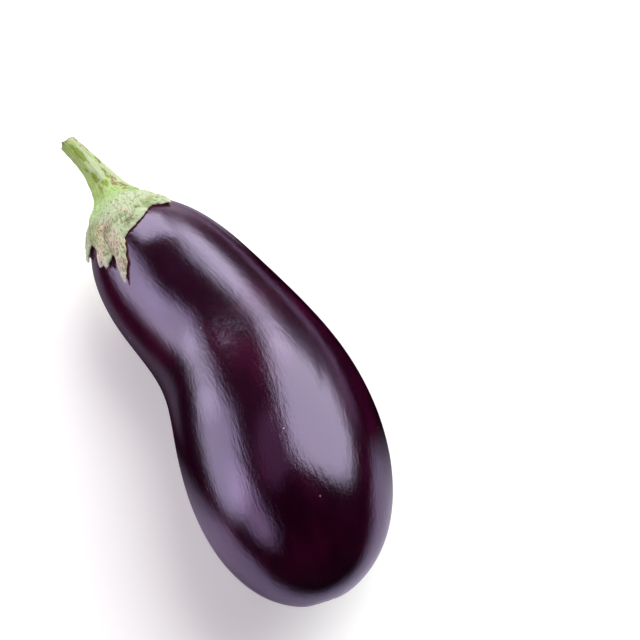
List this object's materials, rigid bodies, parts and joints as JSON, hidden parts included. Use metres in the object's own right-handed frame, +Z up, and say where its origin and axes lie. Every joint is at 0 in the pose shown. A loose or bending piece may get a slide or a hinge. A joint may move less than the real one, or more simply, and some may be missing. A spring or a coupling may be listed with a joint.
{
  "type": "eggplant",
  "caption": "Ripe glossy purple eggplant lying on its side, pear-shaped with a gentle bend, capped by a torn leafy calyx and a curved cut stem.",
  "frame": {"origin": "on the ground under the middle of the whole eggplant's box", "axes": "+Y towards the stem end, +Z up from the ground it rests on, +X to the side that the belly bulges towards"},
  "size_m": [0.0881, 0.2512, 0.085],
  "materials": {
    "skin": "taut waxy skin, high gloss, near-black purple",
    "calyx": "dry, matte, fibrous, pale green with tan patches",
    "stem": "matte, ridged green stalk with a rough brown cut"
  },
  "bodies": {
    "root": {"fruit": "skin", "calyx": "calyx", "stem": "stem"}
  },
  "joints": []
}
